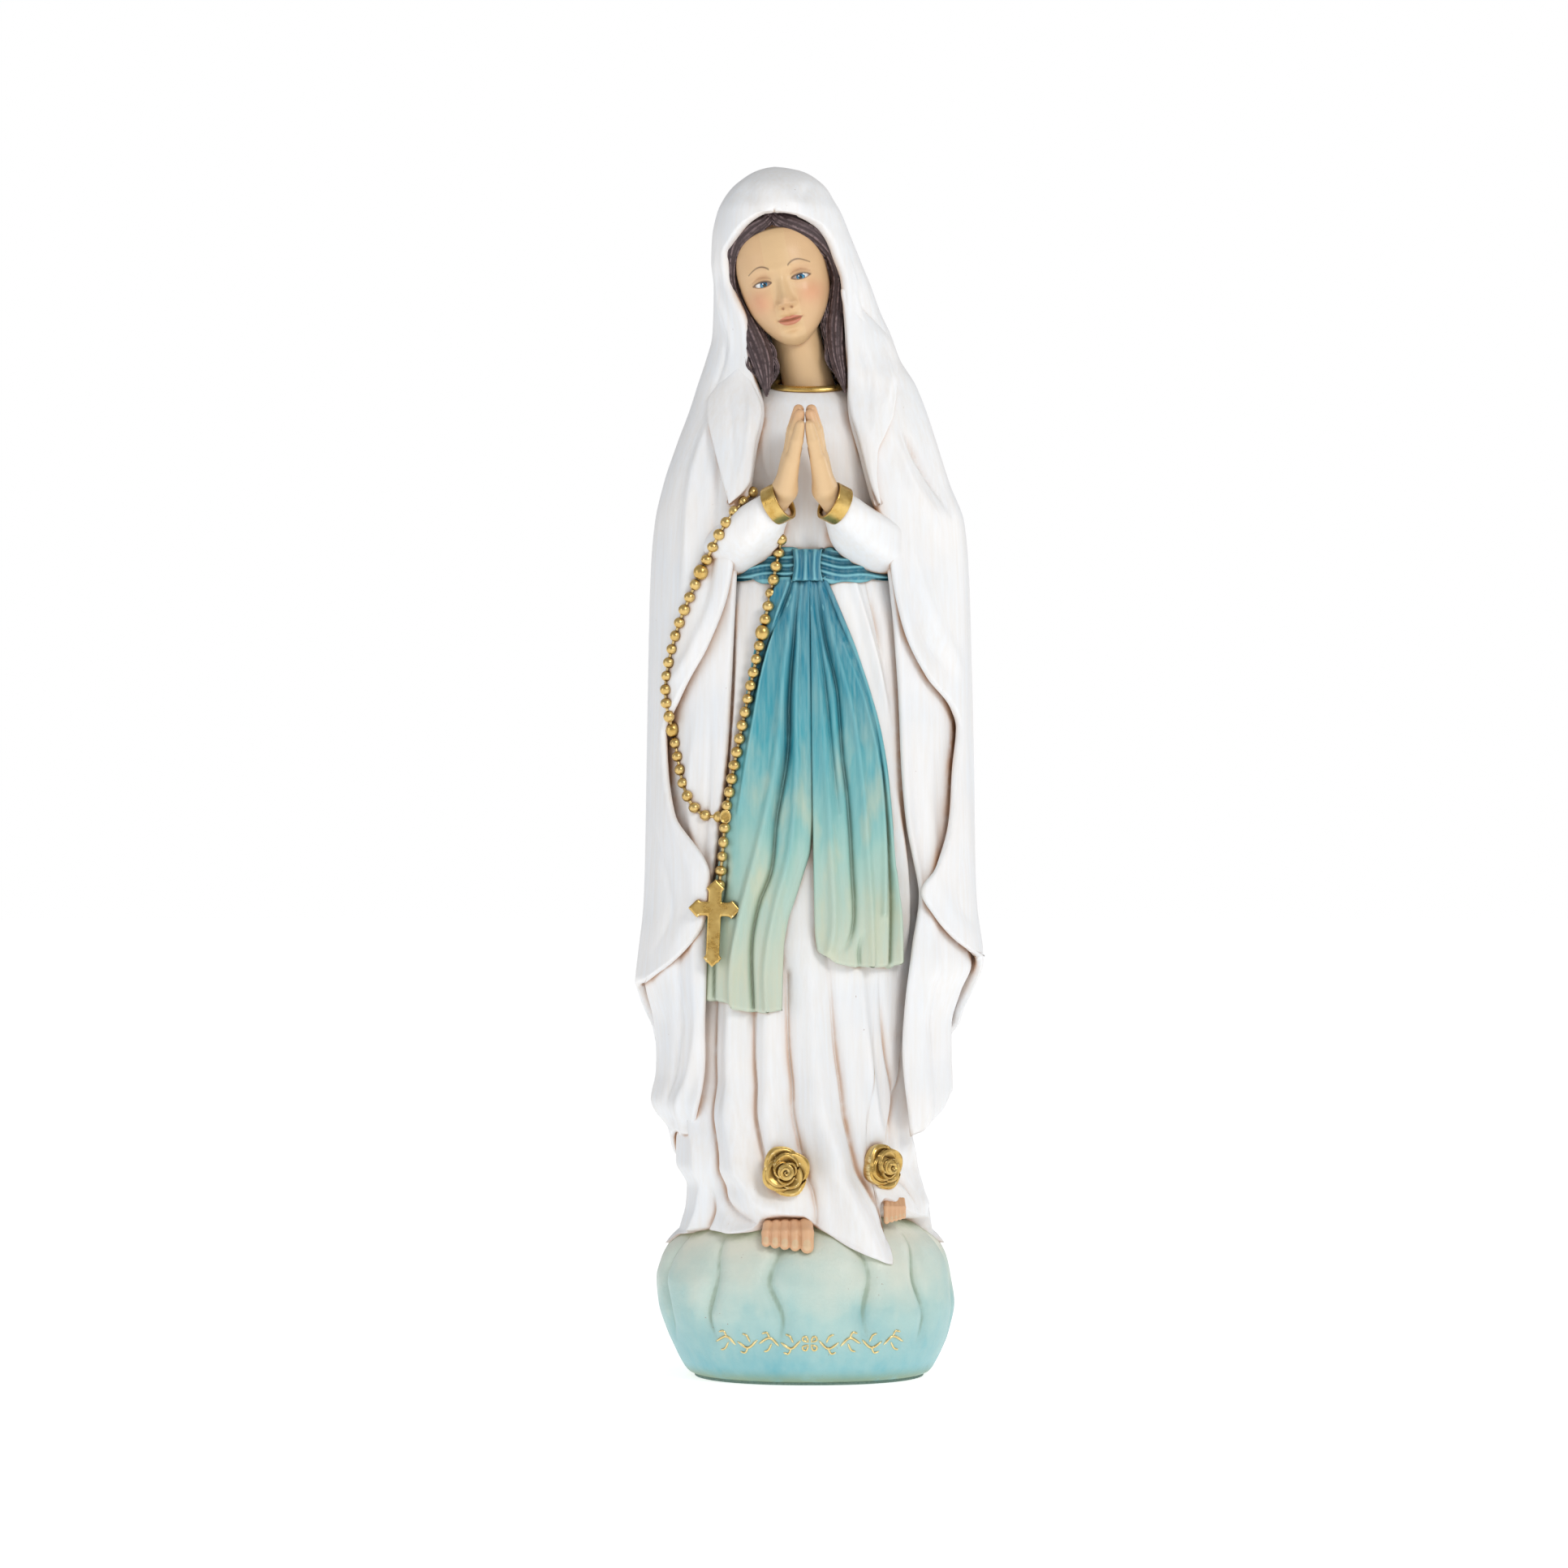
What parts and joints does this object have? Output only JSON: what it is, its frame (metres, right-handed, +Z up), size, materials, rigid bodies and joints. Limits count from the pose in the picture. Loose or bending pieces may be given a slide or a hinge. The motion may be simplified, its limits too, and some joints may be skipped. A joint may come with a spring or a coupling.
{
  "type": "madonna_statue",
  "caption": "Standing madonna statue with praying hands, hooded mantle, blue sash, moulded rosary and a rounded cloud base, a painted devotional figure that stands on a flat felt face",
  "frame": {"origin": "centre of the felt underside, on the surface the statue stands on", "axes": "+Z up, -Y is the front of the figure, +X is the viewer's right"},
  "size_m": [0.1749, 0.1282, 0.6],
  "materials": {
    "white_cloth_paint": "satin",
    "skin_paint": "satin",
    "hair_paint": "satin",
    "eye_gloss": "gloss",
    "antique_gold_paint": "satin",
    "blue_sash_paint": "satin",
    "cloud_base_paint": "satin",
    "raw_resin": "matte",
    "green_felt": "matte"
  },
  "bodies": {
    "root": {"base_mound": "cloud_base_paint", "base_closing_plate": "raw_resin", "base_felt_pad": "green_felt", "base_ornament": "antique_gold_paint", "skirt": "white_cloth_paint", "bodice": "white_cloth_paint", "mantle": "white_cloth_paint", "mantle_lining": "white_cloth_paint", "veil_hood": "white_cloth_paint", "veil_lapel_left": "white_cloth_paint", "veil_lapel_right": "white_cloth_paint", "head": "skin_paint", "eye_left": "eye_gloss", "eye_right": "eye_gloss", "hair_left": "hair_paint", "hair_right": "hair_paint", "collar_trim": "antique_gold_paint", "sleeve_left": "white_cloth_paint", "sleeve_right": "white_cloth_paint", "cuff_left": "antique_gold_paint", "cuff_right": "antique_gold_paint", "hand_left": "skin_paint", "hand_right": "skin_paint", "sash_belt": "blue_sash_paint", "sash_knot": "blue_sash_paint", "sash_tail_left": "blue_sash_paint", "sash_tail_right": "blue_sash_paint", "rosary_links": "antique_gold_paint", "rosary_small_beads": "antique_gold_paint", "rosary_large_beads": "antique_gold_paint", "rosary_medal": "antique_gold_paint", "rosary_cross": "antique_gold_paint", "rose_left": "antique_gold_paint", "rose_right": "antique_gold_paint", "foot_left": "skin_paint", "foot_right": "skin_paint"}
  },
  "joints": []
}
